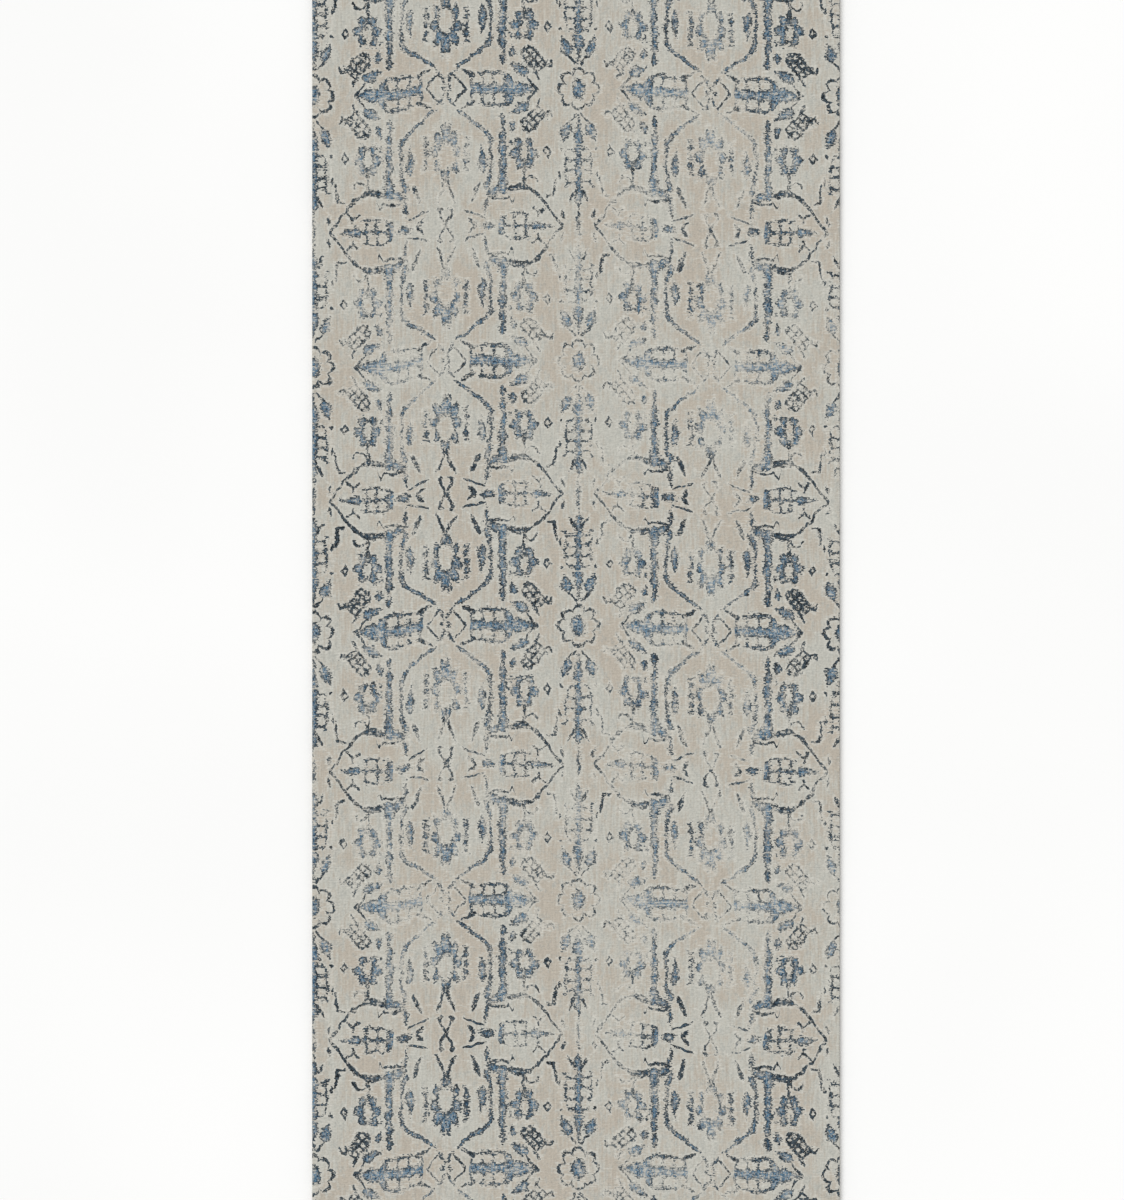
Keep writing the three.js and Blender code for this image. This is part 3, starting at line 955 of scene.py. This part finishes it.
def make_layer(low, high, swells, across=60, along=180):
    """A flat layer whose faces rise and fall slightly inside its thickness."""
    rows = []
    for y in spaced(low[1], high[1], along):
        over = [
            (a, y, high[2] - swells * (0.5 + 0.5 * swell(a, y, (24, 30), 4)))
            for a in spaced(high[0], low[0], across)
        ]
        under = [(a, y, low[2]) for a in spaced(low[0], high[0], across)]
        rows.append(over + under)
    return loft(rows)


# The backing: flat over the floor, with a shallow pocket that holds the label.
def make_backing():
    low, high = BACKING_LOW, BACKING_HIGH
    depth = LABEL_HIGH[2] + CLEARANCE
    pocket_x = (LABEL_LOW[0] - CLEARANCE, LABEL_HIGH[0] + CLEARANCE)
    pocket_y = (LABEL_LOW[1] - CLEARANCE, LABEL_HIGH[1] + CLEARANCE)
    slope = 0.4

    def lines(start, end, steps, pocket):
        kept = [c for c in spaced(start, end, steps) if not pocket[0] - 2 < c < pocket[1] + 2]
        inside = spaced(pocket[0], pocket[1], 6)
        return sorted(kept + inside + [pocket[0] - slope, pocket[1] + slope])

    xs = lines(low[0], high[0], 60, pocket_x)
    ys = lines(low[1], high[1], 180, pocket_y)
    rows = []
    for y in ys:
        held = pocket_y[0] - 0.01 <= y <= pocket_y[1] + 0.01
        over = [(a, y, high[2] - 0.1 * (0.5 + 0.5 * swell(a, y, (24, 30), 5))) for a in reversed(xs)]
        under = [
            (a, y, depth if held and pocket_x[0] - 0.01 <= a <= pocket_x[1] + 0.01 else low[2])
            for a in xs
        ]
        rows.append(over + under)
    return loft(rows)


# The end tape: folded round the foundation, rounded on its fold, with the seam pulled in.
TAPE_THICKNESS = 1.2
TAPE_ROUND = 0.9
THREAD_DIAMETER = 0.6


def make_tape(end):
    bottom, top = TAPE_LOW[2], TAPE_HIGH[2]
    inner, outer = TAPE_LOW[1], TAPE_HIGH[1]
    seam = (NEEDLE_LOW[1] + NEEDLE_HIGH[1]) / 2
    sunk = THREAD_DIAMETER + CLEARANCE
    wide = THREAD_DIAMETER / 2 + CLEARANCE
    r = TAPE_ROUND
    slot_end = outer - TAPE_THICKNESS

    def leg(face, way):
        """From the leg's free edge to the fold, dipping in at the seam."""
        steps = [(inner, 0.25), (inner + 0.5, 0), (seam - wide - 0.5, 0), (seam - wide, 0.45), (seam - wide, sunk),
                 (seam + wide, sunk), (seam + wide, 0.45), (seam + wide + 0.5, 0), (outer - r - 1.5, 0)]
        return [(y, face + way * dip) for y, dip in steps]

    outline = leg(bottom, 1)
    outline += arc(outer - r, bottom + r, r, r, -pi / 2, 0, 4)
    outline += arc(outer - r, top - r, r, r, 0, pi / 2, 4)
    outline += list(reversed(leg(top, -1)))
    outline += [(inner, SLOT_TOP), (slot_end, SLOT_TOP), (slot_end, SLOT_BOTTOM), (inner, SLOT_BOTTOM)]
    rows = []
    for x in spaced(TAPE_LOW[0], TAPE_HIGH[0], 308):
        row = []
        for y, z in outline:
            pull = 0.12 * (0.5 + 0.5 * swell(x, y, (7, 40), 6)) if y > slot_end + 0.1 else 0
            row.append((x * end, (y - pull) * end, z))
        rows.append(row)
    return loft(rows)


# A row of lockstitches: one thread that lies on the tape and dips into it between stitches.
STITCH = 4.0
THREAD_TWIST = 1.8


def make_thread(low, high, end, up):
    radius = (high[2] - low[2]) / 2
    centre_y, centre_z = (low[1] + high[1]) / 2, (low[2] + high[2]) / 2
    stitches = round((high[0] - low[0]) / STITCH)
    rows = []
    for i, x in enumerate(spaced(low[0], high[0], 8 * stitches)):
        part = abs(sin(pi * i / 8))
        dip = 0.24 * (1 - part) ** 2
        thin = 0.72 + 0.28 * part
        row = []
        for k in range(8):
            a = (k + 0.5) * pi / 4
            ply = radius * thin * (0.9 + 0.1 * cos(2 * (a - 2 * pi * x / THREAD_TWIST)))
            row.append((x * end, (centre_y + ply * cos(a)) * end, centre_z - up * dip + ply * sin(a)))
        rows.append(row)
    return loft(rows)


# The label: a thin satin rectangle with round corners and soft edges.
LABEL_CORNER = 3


def make_label():
    low, high = LABEL_LOW, LABEL_HIGH
    cx, cy = (low[0] + high[0]) / 2, (low[1] + high[1]) / 2
    hx, hy = (high[0] - low[0]) / 2, (high[1] - low[1]) / 2

    def ring(inset, z):
        r = LABEL_CORNER - inset
        points = []
        for qx, qy, start in ((1, 1, 0), (-1, 1, pi / 2), (-1, -1, pi), (1, -1, 1.5 * pi)):
            for a, b in arc(qx * (hx - LABEL_CORNER), qy * (hy - LABEL_CORNER), r, r, start, start + pi / 2, 6):
                points.append((cx + a, cy + b, z))
        return points

    middle = (low[2] + high[2]) / 2
    levels = [(0.35, low[2]), (0.08, low[2] + 0.08), (0, middle), (0.08, high[2] - 0.08), (0.35, high[2])]
    return loft([ring(inset, z) for inset, z in levels])


# ---------------------------------------------------------------- camera, floor and light

TOP = PILE_HIGH[2] * MM
VIEW_HEIGHT = 1.795
VIEW_X = -0.0209
DISTANCE = 8.0
SENSOR = 36

camera_data = bpy.data.cameras.new("camera")
camera_data.sensor_width = SENSOR
camera_data.lens = SENSOR * DISTANCE / VIEW_HEIGHT
camera_data.clip_end = 200
camera = bpy.data.objects.new("camera", camera_data)
camera.location = (VIEW_X, 0, TOP + DISTANCE)
bpy.context.scene.collection.objects.link(camera)
bpy.context.scene.camera = camera


def make_floor():
    m = Maths("floor_paper")
    x, y, _ = m.here()
    mottle = m.noise(m.vector(x, y), (900, 900), 61)
    m.finish(m.mix(m.step(mottle, -1, 1), srgb(247, 247, 246), srgb(250, 250, 249)), 0.9, specular=0.1)
    mesh = bpy.data.meshes.new("floor")
    half = 30
    mesh.from_pydata([(-half, -half, 0), (half, -half, 0), (half, half, 0), (-half, half, 0)], [], [(0, 1, 2, 3)])
    mesh.materials.append(m.material)
    floor = bpy.data.objects.new("floor", mesh)
    bpy.context.scene.collection.objects.link(floor)


make_floor()

world = bpy.data.worlds.new("studio")
world.use_nodes = True
world.node_tree.nodes["Background"].inputs["Color"].default_value = (1, 1, 1, 1)
world.node_tree.nodes["Background"].inputs["Strength"].default_value = 0.62
bpy.context.scene.world = world

lamp_data = bpy.data.lights.new("key", "SUN")
lamp_data.energy = 1.75
lamp_data.angle = radians(40)
lamp = bpy.data.objects.new("key", lamp_data)
lamp.rotation_euler = (radians(-32), radians(-28), 0)
bpy.context.scene.collection.objects.link(lamp)

bpy.context.scene.view_settings.view_transform = "Standard"


# ---------------------------------------------------------------- the pieces

serging_yarn = yarn_material("serging_yarn", (196, 190, 176), (150, 143, 128), (0.9, 0.35), 0.2, seed=11)
cord_yarn = yarn_material("cord_yarn", (176, 166, 146), (132, 122, 104), (0.5, 0.9), 0.15, seed=13)
seam_thread = yarn_material("seam_thread", (208, 203, 190), (164, 157, 142), (0.5, 0.25), 0.06, 0.6, seed=15)
tape_cloth = tape_material()

pile = add_piece("pile_cut_yarn", *make_pile(), pile_material(), "pile", "pile")
lay_out_pile(pile.data)
weave = add_piece(
    "ground_weave_cloth",
    *make_layer(WEAVE_LOW, WEAVE_HIGH, 0.2),
    woven_material("foundation_weave", (176, 168, 148), (160, 152, 134), (110, 103, 90), (3.2, 2.4), 0.4),
    "ground_weave",
    "foundation",
)
coat = add_piece("latex_coat_dried", *make_layer(LATEX_LOW, LATEX_HIGH, 0.12), latex_material(), "latex_coat", "latex")
backing = add_piece(
    "backing_cloth_woven",
    *make_backing(),
    woven_material("backing_weave", (198, 184, 152), (182, 168, 136), (128, 114, 88), (5.2, 4.2), 0.6, seed=25),
    "backing_cloth",
    "backing",
)
label = add_piece("care_label_satin", *make_label(), satin_material(), "care_label", "label")

for side, way in (("left", -1), ("right", 1)):
    add_piece(f"{side}_edge_cord_twisted", *make_cord(way), cord_yarn, f"{side}_edge_cord", "cord")
    add_piece(f"{side}_serging_wrapped", *make_serging(way), serging_yarn, f"{side}_serging", "serging")

for end, way in (("head", 1), ("foot", -1)):
    tape = add_piece(f"{end}_binding_tape", *make_tape(way), tape_cloth, f"{end}_binding", "tape")
    stitches = make_thread(NEEDLE_LOW, NEEDLE_HIGH, way, 1)
    needle = add_piece(f"{end}_needle_stitches", *stitches, seam_thread, f"{end}_needle_thread", "thread")
    stitches = make_thread(BOBBIN_LOW, BOBBIN_HIGH, way, -1)
    bobbin = add_piece(f"{end}_bobbin_stitches", *stitches, seam_thread, f"{end}_bobbin_thread", "thread")
